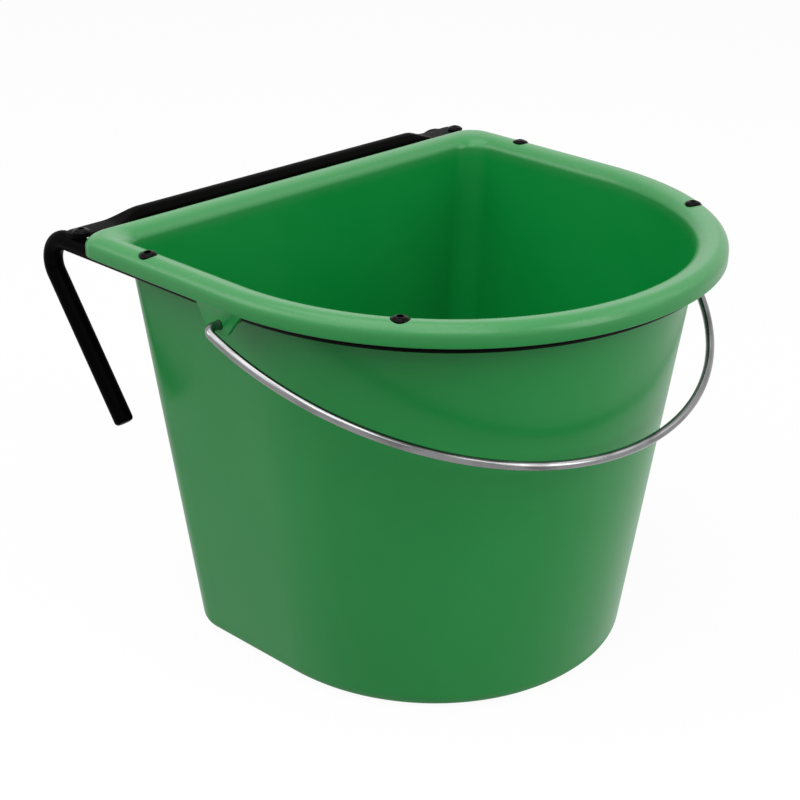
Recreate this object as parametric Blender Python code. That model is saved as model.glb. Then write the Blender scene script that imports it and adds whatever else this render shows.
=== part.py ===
"""Hanging feed trough: a moulded tub whose rolled rim is bolted over a round steel hanger frame.

Lengths are metres and +Z is up. The round front faces -Y and the hooks stand behind the straight back.
The origin is on the tub's flat base, on the vertical axis that the round front is drawn about.
"""

import math
from collections import namedtuple

import bmesh
import bpy
from mathutils import Matrix, Vector

# Gap left between two pieces that touch
CLEARANCE = 0.0003

# Hanger frame: a round bar, its U in the rim's channel and a hook on each end
BAR_DIAMETER = 0.012
LIP_GAP = 0.0005
BAR_ABOVE_LIP = 0.0004
HOOK_SETBACK = 0.022
HOOK_BEND_RADIUS = 0.0147
HOOK_LEAN = math.radians(36.8)
HOOK_LEG = 0.1022
HOOK_TIP_ROUND = 0.0024

# Tub: outline at the lip, depth below the lip, walls and base; a fullness of 2 is a true half circle
TUB_WIDTH = 0.350
TUB_STRAIGHT = 0.131
TUB_DEPTH = 0.2584
FRONT_FULLNESS = 2.06
TUB_WALL = 0.003
LIP_CORNER_RADIUS = 0.014
WALL_CORNER_RADIUS = 0.0203
SIDE_DRAFT = 0.133
BACK_DRAFT = 0.076
BACK_WALL_INSET = 0.0163
BASE_FILLET = 0.012

# Rim: a rolled section, hollow below, over the bar
CHANNEL_GAP = 0.0019
CROWN_GAP = 0.0036
LIP_FACE_HEIGHT = 0.0056
CREST_OUTSIDE_BAR = 0.0015
RIM_INNER_DROP = 0.0085

# Bolts: button heads with a hexagon socket
BOLT_DIAMETER = 0.006
HEAD_DIAMETER = 0.0105
HEAD_HEIGHT = 0.0026
HEAD_EDGE = 0.0005
SOCKET_WIDTH = 0.004
SOCKET_DEPTH = 0.0016
TAPPED_DEPTH = 0.0095
BOLT_END_GAP = 0.0005

# Rim bolts: bosses under the rim and spot faces on it
BOSS_DIAMETER = 0.011
SPOT_FACE_MARGIN = 0.0004
SPOT_FACE_DEPTH = 0.0014
BOSS_ROOT = 0.0011
FRONT_BOLT_ANGLES = {"left": math.radians(54), "right": math.radians(58.5)}
SIDE_BOLT_YS = {"left": 0.0722, "right": 0.077}
SIDE_BOLT_TILT = math.radians(8)
CORNER_BOLT_SETBACK = 0.0065

# Back bar: a tube flattened at both ends
BACK_BAR_DIAMETER = 0.012
BACK_BAR_SETBACK = 0.0098
BACK_BAR_LIFT = 0.0012
FLAT_THICKNESS = 0.0024
FLAT_WIDTH = 0.0155
FLAT_LENGTH = 0.0295
FLAT_OVERHANG = 0.006
FLAT_CORNER_RADIUS = 0.006
FLATTENING_LENGTH = 0.024

# Bail: a wire half ring, turned in through an ear tab on each side
WIRE_DIAMETER = 0.0055
BAIL_SIDE_GAP = 0.01
BAIL_FRONT_GAP = 0.007
BAIL_TURN_RADIUS = 0.006
BAIL_TAIL = 0.012
BAIL_BELOW_BAR = 0.0003
BAIL_PIVOT_Y = 0.002
BAIL_REST_ANGLE = math.radians(66)

# Ear tabs: reach of their top and bottom corners from the pivot line
TAB_TOP_FRONT = 0.0167
TAB_TOP_BACK = 0.0192
TAB_BOTTOM_FRONT = 0.0056
TAB_BOTTOM_BACK = 0.009
TAB_EDGE = 0.0029
TAB_CORNER_RADIUS = 0.003
TAB_STEP = 0.00025

# Facets
FRONT_SEGMENTS = 44
CORNER_SEGMENTS = 5
RIM_SEGMENTS = 6
FILLET_SEGMENTS = 6
ROUND_SEGMENTS = 24
BEND_SEGMENTS = 12

# Places that follow from the sizes above
BAR_RADIUS = BAR_DIAMETER / 2
BAR_INSET = TUB_WALL + LIP_GAP + BAR_RADIUS
BAR_TRACK = TUB_WIDTH / 2 - BAR_INSET
BAR_Z = TUB_DEPTH + BAR_ABOVE_LIP
BAR_TOP = BAR_Z + BAR_RADIUS
CREST_INSET = BAR_INSET - CREST_OUTSIDE_BAR
RIM_HEIGHT = BAR_TOP + CROWN_GAP + TUB_WALL - TUB_DEPTH
SIDE_WALL_INSET = BAR_INSET + BAR_RADIUS + CHANNEL_GAP
RIM_SEAT = TUB_DEPTH + RIM_HEIGHT - SPOT_FACE_DEPTH - BAR_Z
FLAT_SEAT = BAR_RADIUS + CLEARANCE + FLAT_THICKNESS
WIRE_RADIUS = WIRE_DIAMETER / 2
BAIL_PIVOT_Z = BAR_Z - BAR_RADIUS - BAIL_BELOW_BAR - WIRE_RADIUS
BAIL_RADIUS = TUB_WIDTH / 2 + BAIL_SIDE_GAP
BAIL_REACH = TUB_WIDTH / 2 + BAIL_FRONT_GAP

Level = namedtuple("Level", "side_inset back_inset corner_radius height")
BoltPlace = namedtuple("BoltPlace", "name anchor tilt seat")


def clear_scene():
    """Remove every object that the file opened with."""
    for obj in list(bpy.data.objects):
        bpy.data.objects.remove(obj, do_unlink=True)


def make_material(name, colour, roughness, metallic):
    """Return a Principled material with one colour and finish."""
    material = bpy.data.materials.new(name)
    material.use_nodes = True
    shader = material.node_tree.nodes["Principled BSDF"]
    shader.inputs["Base Color"].default_value = (*colour, 1.0)
    shader.inputs["Roughness"].default_value = roughness
    shader.inputs["Metallic"].default_value = metallic
    return material


def make_object(name, bm, material=None, smooth_angle=30):
    """Turn a bmesh into a named object with smooth round surfaces and sharp edges."""
    bmesh.ops.recalc_face_normals(bm, faces=bm.faces)
    mesh = bpy.data.meshes.new(name)
    bm.to_mesh(mesh)
    bm.free()
    mesh.shade_smooth()
    mesh.set_sharp_from_angle(angle=math.radians(smooth_angle))
    obj = bpy.data.objects.new(name, mesh)
    bpy.context.scene.collection.objects.link(obj)
    if material is not None:
        mesh.materials.append(material)
    return obj


def make_cutter(name, bm):
    """Turn a bmesh into a hidden helper for a Boolean."""
    cutter = make_object(name, bm)
    cutter.hide_render = True
    cutter.display_type = "WIRE"
    return cutter


def add_boolean(obj, other, operation):
    """Put an exact Boolean modifier on an object."""
    modifier = obj.modifiers.new(f"{operation.lower()}_{other.name}", "BOOLEAN")
    modifier.operation = operation
    modifier.solver = "EXACT"
    modifier.object = other


def arc_angles(start, end, segments):
    """Return evenly spaced angles from start to end, both included."""
    return [start + (end - start) * i / segments for i in range(segments + 1)]


# Shapes shared by several pieces


def front_point(half, angle, height):
    """Return a point of the round front, a little fuller than a half circle, for a parameter angle."""
    power = 2 / FRONT_FULLNESS
    x = half * math.copysign(abs(math.cos(angle)) ** power, math.cos(angle))
    y = -half * abs(math.sin(angle)) ** power
    return Vector((x, y, height))


def loft(rings):
    """Join a row of equal point rings with quads into a solid and cap both ends."""
    bm = bmesh.new()
    loops = [[bm.verts.new(point) for point in ring] for ring in rings]
    for first, second in zip(loops, loops[1:]):
        for i in range(len(first)):
            bm.faces.new((first[i - 1], first[i], second[i], second[i - 1]))
    bm.faces.new(loops[0])
    bm.faces.new(loops[-1])
    return bm


def turn_profile(bm, profile, place):
    """Spin a profile of (radius, height) points about the Z axis of a placing matrix."""
    verts = [bm.verts.new((radius, 0, height)) for radius, height in profile]
    edges = [bm.edges.new(pair) for pair in zip(verts, verts[1:])]
    bmesh.ops.spin(
        bm,
        geom=verts + edges,
        cent=(0, 0, 0),
        axis=(0, 0, 1),
        angle=2 * math.pi,
        steps=ROUND_SEGMENTS,
        use_merge=True,
    )
    turned = [vert for vert in bm.verts if not vert.tag]
    bmesh.ops.remove_doubles(bm, verts=turned, dist=1e-6)
    turned = [vert for vert in bm.verts if not vert.tag]
    bmesh.ops.transform(bm, matrix=place, verts=turned)
    for vert in turned:
        vert.tag = True


def sweep(points, radii, bevel_resolution):
    """Sweep a round section along points, with its radius given at each point, and cap both ends."""
    curve = bpy.data.curves.new("sweep", "CURVE")
    curve.dimensions = "3D"
    curve.bevel_depth = 1.0
    curve.bevel_resolution = bevel_resolution
    curve.use_fill_caps = True
    spline = curve.splines.new("POLY")
    spline.points.add(len(points) - 1)
    for spline_point, point, radius in zip(spline.points, points, radii):
        spline_point.co = (*point, 1.0)
        spline_point.radius = radius
    path = bpy.data.objects.new("sweep", curve)
    bpy.context.scene.collection.objects.link(path)
    depsgraph = bpy.context.evaluated_depsgraph_get()
    mesh = bpy.data.meshes.new_from_object(path.evaluated_get(depsgraph))
    bm = bmesh.new()
    bm.from_mesh(mesh)
    bmesh.ops.remove_doubles(bm, verts=bm.verts, dist=1e-6)
    bpy.data.objects.remove(path, do_unlink=True)
    bpy.data.curves.remove(curve)
    bpy.data.meshes.remove(mesh)
    return bm


# Bolt places, shared by the tub, the frame, the back bar and the bolts


def bolt_places():
    """List every bolt: the point of the bar's centre line that it enters, its outward tilt and its seat."""
    places = []
    for side, word in ((-1, "left"), (1, "right")):
        front = front_point(BAR_TRACK, side * FRONT_BOLT_ANGLES[word] - math.pi / 2, BAR_Z)
        middle = Vector((side * BAR_TRACK, SIDE_BOLT_YS[word], BAR_Z))
        corner = Vector((side * BAR_TRACK, TUB_STRAIGHT + CORNER_BOLT_SETBACK, BAR_Z))
        places.append(BoltPlace(f"rim_bolt_front_{word}", front, 0.0, RIM_SEAT))
        places.append(BoltPlace(f"rim_bolt_side_{word}", middle, side * SIDE_BOLT_TILT, RIM_SEAT))
        places.append(BoltPlace(f"corner_bolt_{word}", corner, 0.0, FLAT_SEAT))
    return places


def rim_bolt_places():
    """List the bolts that pass through the rim."""
    return [place for place in bolt_places() if place.name.startswith("rim")]


def bolt_matrix(place):
    """Return the matrix whose Z axis is the bolt's axis, with its origin on the bar's centre line."""
    return Matrix.Translation(place.anchor) @ Matrix.Rotation(place.tilt, 4, "Y")


# Tub


def outline(level):
    """Return the tub's plan at one level: round front, straight sides, rounded back corners."""
    half = TUB_WIDTH / 2 - level.side_inset
    back = TUB_STRAIGHT - level.back_inset
    radius = level.corner_radius
    points = []
    for angle in arc_angles(-math.pi, 0, FRONT_SEGMENTS):
        points.append(front_point(half, angle, level.height))
    points.append((half, (back - radius) / 2, level.height))
    for angle in arc_angles(0, math.pi / 2, CORNER_SEGMENTS):
        x = half - radius + radius * math.cos(angle)
        points.append((x, back - radius + radius * math.sin(angle), level.height))
    for share in (0.5, 0.0, -0.5):
        points.append((share * (half - radius), back, level.height))
    for angle in arc_angles(math.pi / 2, math.pi, CORNER_SEGMENTS):
        x = radius - half + radius * math.cos(angle)
        points.append((x, back - radius + radius * math.sin(angle), level.height))
    points.append((-half, (back - radius) / 2, level.height))
    return points


def drafted_inset(height, lip_inset, draft, floor, fillet):
    """Return a drafted wall's inset at a height, and how much of it the fillet into the floor adds."""
    slope = math.atan(draft)
    line = lip_inset + draft * (TUB_DEPTH - height)
    if height >= floor + fillet * (1 - math.sin(slope)):
        return line, 0.0
    centre = lip_inset + draft * (TUB_DEPTH - floor - fillet) + fillet / math.cos(slope)
    rise = floor + fillet - height
    inset = centre - math.sqrt(max(fillet**2 - rise**2, 0.0))
    return inset, inset - line


def wall_level(height, thickness):
    """Return the outer wall's level at a height, or with a thickness the inner wall's."""
    fillet = BASE_FILLET - thickness
    side_lip = SIDE_WALL_INSET + thickness / math.cos(math.atan(SIDE_DRAFT))
    back_lip = BACK_WALL_INSET + thickness / math.cos(math.atan(BACK_DRAFT))
    side, side_round = drafted_inset(height, side_lip, SIDE_DRAFT, thickness, fillet)
    back, back_round = drafted_inset(height, back_lip, BACK_DRAFT, thickness, fillet)
    corner = WALL_CORNER_RADIUS - thickness - (side_round + back_round) / 2
    return Level(side, back, corner, height)


def fillet_levels(thickness):
    """Return the levels from the floor's flat up to the straight wall."""
    fillet = BASE_FILLET - thickness
    steepest = math.pi / 2 - math.atan(SIDE_DRAFT)
    heights = [thickness + fillet * (1 - math.cos(a)) for a in arc_angles(0, steepest, FILLET_SEGMENTS)]
    heights.append(thickness + fillet)
    return [wall_level(height, thickness) for height in heights]


def rim_levels(thickness):
    """Return one skin of the rolled rim from the wall over the crest to the lip's bottom edge."""
    under = TUB_WALL - thickness
    wall_end = wall_level(TUB_DEPTH + RIM_HEIGHT - RIM_INNER_DROP, thickness)
    crest_height = RIM_HEIGHT - under
    lip_corner = LIP_CORNER_RADIUS - under
    levels = []
    for angle in arc_angles(math.pi / 2, 0, RIM_SEGMENTS):
        side = CREST_INSET + (wall_end.side_inset - CREST_INSET) * math.sin(angle)
        back = CREST_INSET + (wall_end.back_inset - CREST_INSET) * math.sin(angle)
        height = TUB_DEPTH + crest_height - (RIM_INNER_DROP - under) * (1 - math.cos(angle))
        levels.append((side, back, height))
    for angle in arc_angles(0, math.pi / 2, RIM_SEGMENTS)[1:]:
        inset = CREST_INSET - (CREST_INSET - under) * math.sin(angle)
        height = TUB_DEPTH + LIP_FACE_HEIGHT + (crest_height - LIP_FACE_HEIGHT) * math.cos(angle)
        levels.append((inset, inset, height))
    levels.append((under, under, TUB_DEPTH))
    rim = []
    for side, back, height in levels:
        share = (side - under) / (wall_end.side_inset - under)
        corner = lip_corner + (wall_end.corner_radius - lip_corner) * share
        rim.append(Level(side, back, corner, height))
    return rim


def tub_shell():
    """Loft the tub from its inner floor, up the wall, over the rim and down to the flat base."""
    levels = fillet_levels(TUB_WALL) + rim_levels(TUB_WALL)
    levels += reversed(rim_levels(0.0))
    levels += reversed(fillet_levels(0.0))
    return loft([outline(level) for level in levels])


def lip_skirt():
    """Return an open band that hangs from the lip all round, which the ear tabs are cut from."""
    bottom = tab_bottom() - TUB_WALL
    height = TUB_DEPTH + TUB_WALL / 2 - bottom
    bm = bmesh.new()
    ring = outline(Level(TAB_STEP, TAB_STEP, LIP_CORNER_RADIUS - TAB_STEP, bottom))
    verts = [bm.verts.new(point) for point in ring]
    edges = [bm.edges.new((verts[i - 1], verts[i])) for i in range(len(verts))]
    extruded = bmesh.ops.extrude_edge_only(bm, edges=edges)
    raised = [item for item in extruded["geom"] if isinstance(item, bmesh.types.BMVert)]
    bmesh.ops.translate(bm, verts=raised, vec=(0, 0, height))
    return bm


def tab_bottom():
    """Return the height of the ear tabs' lower edge."""
    return BAIL_PIVOT_Z - WIRE_RADIUS - CLEARANCE - TAB_EDGE


def tab_shape():
    """Return a bar across the tub whose section is the ear tab: wide at the lip, round-cornered below."""
    bm = bmesh.new()
    top = TUB_DEPTH + TUB_WALL / 3
    half_length = TUB_WIDTH / 2 + TUB_WALL
    above = (top - TUB_DEPTH) / (TUB_DEPTH - tab_bottom())
    corners = (
        (BAIL_PIVOT_Y - TAB_TOP_FRONT - (TAB_TOP_FRONT - TAB_BOTTOM_FRONT) * above, top),
        (BAIL_PIVOT_Y + TAB_TOP_BACK + (TAB_TOP_BACK - TAB_BOTTOM_BACK) * above, top),
        (BAIL_PIVOT_Y + TAB_BOTTOM_BACK, tab_bottom()),
        (BAIL_PIVOT_Y - TAB_BOTTOM_FRONT, tab_bottom()),
    )
    verts = [bm.verts.new((-half_length, y, z)) for y, z in corners]
    face = bm.faces.new(verts)
    extruded = bmesh.ops.extrude_face_region(bm, geom=[face])
    moved = [item for item in extruded["geom"] if isinstance(item, bmesh.types.BMVert)]
    bmesh.ops.translate(bm, verts=moved, vec=(2 * half_length, 0, 0))
    lower = [
        edge
        for edge in bm.edges
        if all(abs(vert.co.z - tab_bottom()) < 1e-6 for vert in edge.verts)
        and abs(edge.verts[0].co.x - edge.verts[1].co.x) > half_length
    ]
    bmesh.ops.bevel(bm, geom=lower, offset=TAB_CORNER_RADIUS, segments=4, profile=0.5, affect="EDGES")
    return bm


def tab_hole():
    """Return the pin along the pivot line that cuts both tab holes."""
    bm = bmesh.new()
    radius = WIRE_RADIUS + CLEARANCE
    reach = TUB_WIDTH / 2 + TUB_WALL
    start = TUB_WIDTH / 2 - 2 * TUB_WALL
    for side in (-1, 1):
        centre = Vector((side * (start + reach) / 2, BAIL_PIVOT_Y, BAIL_PIVOT_Z))
        bmesh.ops.create_cone(
            bm,
            cap_ends=True,
            segments=ROUND_SEGMENTS,
            radius1=radius,
            radius2=radius,
            depth=reach - start,
            matrix=Matrix.Translation(centre) @ Matrix.Rotation(math.pi / 2, 4, "Y"),
        )
    return bm


def rim_bosses():
    """Return the bosses under the rim that stand on the bar round each rim bolt."""
    bm = bmesh.new()
    bottom = BAR_RADIUS + CLEARANCE
    top = RIM_SEAT - BOSS_ROOT
    for place in rim_bolt_places():
        bmesh.ops.create_cone(
            bm,
            cap_ends=True,
            segments=ROUND_SEGMENTS,
            radius1=BOSS_DIAMETER / 2,
            radius2=BOSS_DIAMETER / 2,
            depth=top - bottom,
            matrix=bolt_matrix(place) @ Matrix.Translation((0, 0, (top + bottom) / 2)),
        )
    return bm


def rim_bolt_cuts():
    """Return a stepped cutter for each rim bolt: the hole through the boss and the spot face above it."""
    bm = bmesh.new()
    hole = BOLT_DIAMETER / 2 + CLEARANCE
    spot = HEAD_DIAMETER / 2 + SPOT_FACE_MARGIN
    profile = (
        (0, BAR_RADIUS / 2),
        (hole, BAR_RADIUS / 2),
        (hole, RIM_SEAT),
        (spot, RIM_SEAT),
        (spot, RIM_SEAT + HEAD_HEIGHT),
        (0, RIM_SEAT + HEAD_HEIGHT),
    )
    for place in rim_bolt_places():
        turn_profile(bm, profile, bolt_matrix(place))
    return bm


def back_notches():
    """Return the two round cutters that let the bar out through the back lip."""
    bm = bmesh.new()
    radius = BAR_RADIUS + CLEARANCE
    start = TUB_STRAIGHT - LIP_CORNER_RADIUS - BAR_DIAMETER
    end = TUB_STRAIGHT + TUB_WALL
    for side in (-1, 1):
        centre = Vector((side * BAR_TRACK, (start + end) / 2, BAR_Z))
        bmesh.ops.create_cone(
            bm,
            cap_ends=True,
            segments=ROUND_SEGMENTS,
            radius1=radius,
            radius2=radius,
            depth=end - start,
            matrix=Matrix.Translation(centre) @ Matrix.Rotation(math.pi / 2, 4, "X"),
        )
    return bm


def make_tub(material):
    """Make the moulded tub with its rim, bosses, ear tabs, notches and holes."""
    tub = make_object("tub", tub_shell(), material)
    tabs = make_cutter("tub_tabs", lip_skirt())
    skirt_wall = tabs.modifiers.new("skirt_wall", "SOLIDIFY")
    skirt_wall.thickness = TUB_WALL - 2 * TAB_STEP
    skirt_wall.offset = -1
    add_boolean(tabs, make_cutter("tub_tab_shape", tab_shape()), "INTERSECT")
    add_boolean(tub, tabs, "UNION")
    add_boolean(tub, make_cutter("tub_bosses", rim_bosses()), "UNION")
    add_boolean(tub, make_cutter("tub_bolt_cuts", rim_bolt_cuts()), "DIFFERENCE")
    add_boolean(tub, make_cutter("tub_notches", back_notches()), "DIFFERENCE")
    add_boolean(tub, make_cutter("tub_tab_holes", tab_hole()), "DIFFERENCE")
    return tub


# Hanger frame


def hook_points():
    """Return the right hook's centre line from the bend's start to the tip, with the bar's radii."""
    turn = math.pi / 2 + HOOK_LEAN
    start_y = TUB_STRAIGHT + HOOK_SETBACK
    rearmost = round(BEND_SEGMENTS * math.pi / 2 / turn)
    angles = arc_angles(0, math.pi / 2, rearmost)
    angles += arc_angles(math.pi / 2, turn, BEND_SEGMENTS - rearmost)[1:]
    points = []
    for angle in angles:
        y = start_y + HOOK_BEND_RADIUS * math.sin(angle)
        z = BAR_Z - HOOK_BEND_RADIUS * (1 - math.cos(angle))
        points.append((Vector((BAR_TRACK, y, z)), BAR_RADIUS))
    bend_end = points[-1][0]
    along = Vector((0, math.cos(turn), -math.sin(turn)))
    for angle in arc_angles(0, math.pi / 2, 3):
        distance = HOOK_LEG - HOOK_TIP_ROUND * (1 - math.sin(angle))
        radius = BAR_RADIUS - HOOK_TIP_ROUND * (1 - math.cos(angle))
        points.append((bend_end + along * distance, radius))
    return points


def frame_path():
    """Return the whole bar's centre line and radii, from the left hook's tip round to the right one's."""
    right = hook_points()
    left = [(Vector((-point.x, point.y, point.z)), radius) for point, radius in reversed(right)]
    front = []
    for angle in arc_angles(-math.pi, 0, FRONT_SEGMENTS):
        front.append((front_point(BAR_TRACK, angle, BAR_Z), BAR_RADIUS))
    return left + front + right


def tapped_holes():
    """Return the blind holes that the six bolts screw into."""
    bm = bmesh.new()
    radius = BOLT_DIAMETER / 2 + CLEARANCE
    bottom = BAR_RADIUS - TAPPED_DEPTH
    top = BAR_DIAMETER
    for place in bolt_places():
        bmesh.ops.create_cone(
            bm,
            cap_ends=True,
            segments=ROUND_SEGMENTS,
            radius1=radius,
            radius2=radius,
            depth=top - bottom,
            matrix=bolt_matrix(place) @ Matrix.Translation((0, 0, (top + bottom) / 2)),
        )
    return bm


def make_hanger_frame(material):
    """Make the bent bar with its hooks and tapped holes."""
    path = frame_path()
    bm = sweep([point for point, radius in path], [radius for point, radius in path], 6)
    frame = make_object("hanger_frame", bm, material)
    add_boolean(frame, make_cutter("frame_tapped_holes", tapped_holes()), "DIFFERENCE")
    return frame


# Back bar


def stadium(x, centre_z, half_height, half_width):
    """Return a ring in the YZ plane with round ends and flat top and bottom."""
    straight = half_width - half_height
    centre_y = TUB_STRAIGHT + BACK_BAR_SETBACK
    points = []
    for i in range(ROUND_SEGMENTS):
        angle = 2 * math.pi * (i + 0.5) / ROUND_SEGMENTS
        y = half_height * math.cos(angle) + math.copysign(straight, math.cos(angle))
        points.append((x, centre_y + y, centre_z + half_height * math.sin(angle)))
    return points


def half_bar_rings():
    """Return the rings of the back bar's right half: tube, flattening and rounded flat end."""
    end_x = BAR_TRACK + FLAT_OVERHANG
    flat_x = end_x - FLAT_LENGTH
    tube_x = flat_x - FLATTENING_LENGTH
    flat_z = BAR_TOP + CLEARANCE + FLAT_THICKNESS / 2
    tube_radius = BACK_BAR_DIAMETER / 2
    rings = []
    for i in range(9):
        share = i / 8
        ease = share * share * (3 - 2 * share)
        half_height = tube_radius + (FLAT_THICKNESS / 2 - tube_radius) * ease
        half_width = tube_radius + (FLAT_WIDTH / 2 - tube_radius) * ease
        centre_z = flat_z + BACK_BAR_LIFT * (1 - ease)
        rings.append(stadium(tube_x + FLATTENING_LENGTH * share, centre_z, half_height, half_width))
    for angle in arc_angles(0, math.pi / 2, 5):
        x = end_x - FLAT_CORNER_RADIUS * (1 - math.sin(angle))
        half_width = FLAT_WIDTH / 2 - FLAT_CORNER_RADIUS * (1 - math.cos(angle))
        rings.append(stadium(x, flat_z, FLAT_THICKNESS / 2, half_width))
    return rings


def back_bar_holes():
    """Return the cutters for the corner bolts' holes."""
    bm = bmesh.new()
    radius = BOLT_DIAMETER / 2 + CLEARANCE
    for place in bolt_places():
        if not place.name.startswith("corner"):
            continue
        bmesh.ops.create_cone(
            bm,
            cap_ends=True,
            segments=ROUND_SEGMENTS,
            radius1=radius,
            radius2=radius,
            depth=4 * FLAT_THICKNESS,
            matrix=bolt_matrix(place) @ Matrix.Translation((0, 0, FLAT_SEAT)),
        )
    return bm


def make_back_bar(material):
    """Make the tube across the back, flattened where it is bolted on the bar."""
    right = half_bar_rings()
    left = [[(-x, y, z) for x, y, z in ring] for ring in reversed(right)]
    bar = make_object("back_bar", loft(left + right), material)
    add_boolean(bar, make_cutter("back_bar_bolt_holes", back_bar_holes()), "DIFFERENCE")
    return bar


# Bolts


def bolt_profile(seat):
    """Return the profile of a bolt about its axis, with height 0 under the head."""
    shank_end = BAR_RADIUS - TAPPED_DEPTH + BOLT_END_GAP - seat - CLEARANCE
    head_radius = HEAD_DIAMETER / 2
    profile = [(0, HEAD_HEIGHT)]
    for angle in arc_angles(math.radians(30), math.pi / 2, 4):
        height = HEAD_EDGE + (HEAD_HEIGHT - HEAD_EDGE) * math.cos(angle) / math.cos(math.radians(30))
        profile.append((head_radius * math.sin(angle), height))
    profile.append((head_radius, 0))
    profile.append((BOLT_DIAMETER / 2, 0))
    profile.append((BOLT_DIAMETER / 2, shank_end))
    profile.append((0, shank_end))
    return profile


def make_bolt(place, material):
    """Make one bolt, standing on its seat along its own axis."""
    bm = bmesh.new()
    turn_profile(bm, bolt_profile(place.seat), Matrix.Identity(4))
    bolt = make_object(place.name, bm, material)
    bolt.matrix_world = bolt_matrix(place) @ Matrix.Translation((0, 0, place.seat + CLEARANCE))
    socket_bm = bmesh.new()
    bmesh.ops.create_cone(
        socket_bm,
        cap_ends=True,
        segments=6,
        radius1=SOCKET_WIDTH / math.sqrt(3),
        radius2=SOCKET_WIDTH / math.sqrt(3),
        depth=2 * SOCKET_DEPTH,
        matrix=Matrix.Translation((0, 0, HEAD_HEIGHT)),
    )
    socket = make_cutter(f"{place.name}_socket", socket_bm)
    socket.matrix_world = bolt.matrix_world
    add_boolean(bolt, socket, "DIFFERENCE")
    return bolt


# Bail


def bail_path():
    """Return the bail's centre line hanging straight down from the pivot line: tail, turn, half ring.

    The path is laid out as a half circle and then drawn in to the bail's reach.
    """
    turn_x = math.sqrt((BAIL_RADIUS - BAIL_TURN_RADIUS) ** 2 - BAIL_TURN_RADIUS**2)
    join = math.atan2(BAIL_TURN_RADIUS, turn_x)
    tail_x = TUB_WIDTH / 2 - TUB_WALL - BAIL_TAIL
    right = [Vector((tail_x, 0, 0))]
    for angle in arc_angles(math.pi / 2, 0, 5) + [-join]:
        x = turn_x + BAIL_TURN_RADIUS * math.cos(angle)
        right.append(Vector((x, 0, -BAIL_TURN_RADIUS + BAIL_TURN_RADIUS * math.sin(angle))))
    ring = []
    for angle in arc_angles(join, math.pi - join, FRONT_SEGMENTS)[1:-1]:
        ring.append(Vector((BAIL_RADIUS * math.cos(angle), 0, -BAIL_RADIUS * math.sin(angle))))
    left = [Vector((-point.x, 0, point.z)) for point in reversed(right)]
    shrink = BAIL_REACH / BAIL_RADIUS
    return [Vector((point.x, 0, point.z * shrink)) for point in right + ring + left]


def make_bail(material):
    """Make the wire bail with its origin on the pivot line, swung forward to where it rests."""
    path = bail_path()
    bail = make_object("bail", sweep(path, [WIRE_RADIUS] * len(path), 3), material)
    bail.location = (0, BAIL_PIVOT_Y, BAIL_PIVOT_Z)
    bail.rotation_euler = (-BAIL_REST_ANGLE, 0, 0)
    return bail


def main():
    """Build the trough."""
    clear_scene()
    green_plastic = make_material("green_plastic", (0.03, 0.21, 0.06), 0.28, 0.0)
    black_steel = make_material("black_steel", (0.006, 0.006, 0.007), 0.38, 0.0)
    grey_steel = make_material("grey_steel", (0.05, 0.055, 0.05), 0.42, 0.6)
    bright_wire = make_material("bright_wire", (0.55, 0.55, 0.54), 0.25, 1.0)
    make_tub(green_plastic)
    make_hanger_frame(black_steel)
    make_back_bar(grey_steel)
    make_bail(bright_wire)
    for place in bolt_places():
        make_bolt(place, black_steel)


main()
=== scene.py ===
"""A hanging feed trough: a moulded green tub on a black bar frame, with a wire bail."""

from __future__ import annotations

import logging
import math
from dataclasses import dataclass
from enum import Enum
from typing import Sequence

import bmesh
import bpy
from mathutils import Matrix, Vector


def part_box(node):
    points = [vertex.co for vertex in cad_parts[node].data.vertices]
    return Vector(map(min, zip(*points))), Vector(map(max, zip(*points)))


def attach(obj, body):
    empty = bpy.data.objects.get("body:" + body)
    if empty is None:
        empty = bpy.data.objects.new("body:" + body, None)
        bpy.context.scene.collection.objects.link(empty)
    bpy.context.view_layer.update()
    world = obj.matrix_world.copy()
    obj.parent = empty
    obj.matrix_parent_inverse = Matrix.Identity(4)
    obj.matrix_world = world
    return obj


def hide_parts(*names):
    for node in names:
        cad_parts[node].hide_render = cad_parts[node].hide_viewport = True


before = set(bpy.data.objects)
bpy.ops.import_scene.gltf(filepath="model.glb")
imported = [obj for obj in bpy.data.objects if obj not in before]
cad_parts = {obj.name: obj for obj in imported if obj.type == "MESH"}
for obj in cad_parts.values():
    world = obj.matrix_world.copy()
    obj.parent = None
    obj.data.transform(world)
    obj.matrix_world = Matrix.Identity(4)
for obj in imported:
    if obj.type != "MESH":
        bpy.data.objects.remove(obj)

LOG = logging.getLogger("trough")
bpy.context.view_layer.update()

SHARP_ANGLE = math.radians(35)
EDGE_STEPS = 5
SAME_POINT = 1e-7

Point = tuple[float, float, float]
Colour = tuple[float, float, float]
Span = tuple[float, float]

WHITE: Colour = (1.0, 1.0, 1.0)
NOISE_MIDDLE = 0.5
FORWARD = Vector((0.0, 1.0, 0.0))


class Body(Enum):
    """The two rigid bodies of the trough."""

    TROUGH = "trough"
    HANDLE = "handle"


class Slot(Enum):
    """The record's material slots."""

    PLASTIC = "green_plastic"
    BLACK_STEEL = "black_steel"
    GREY_STEEL = "grey_steel"
    WIRE = "bright_wire"


class Join(Enum):
    """What a Boolean does with a second shape."""

    ADD = "UNION"
    CUT = "DIFFERENCE"
    COMMON = "INTERSECT"


# Shader building


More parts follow.
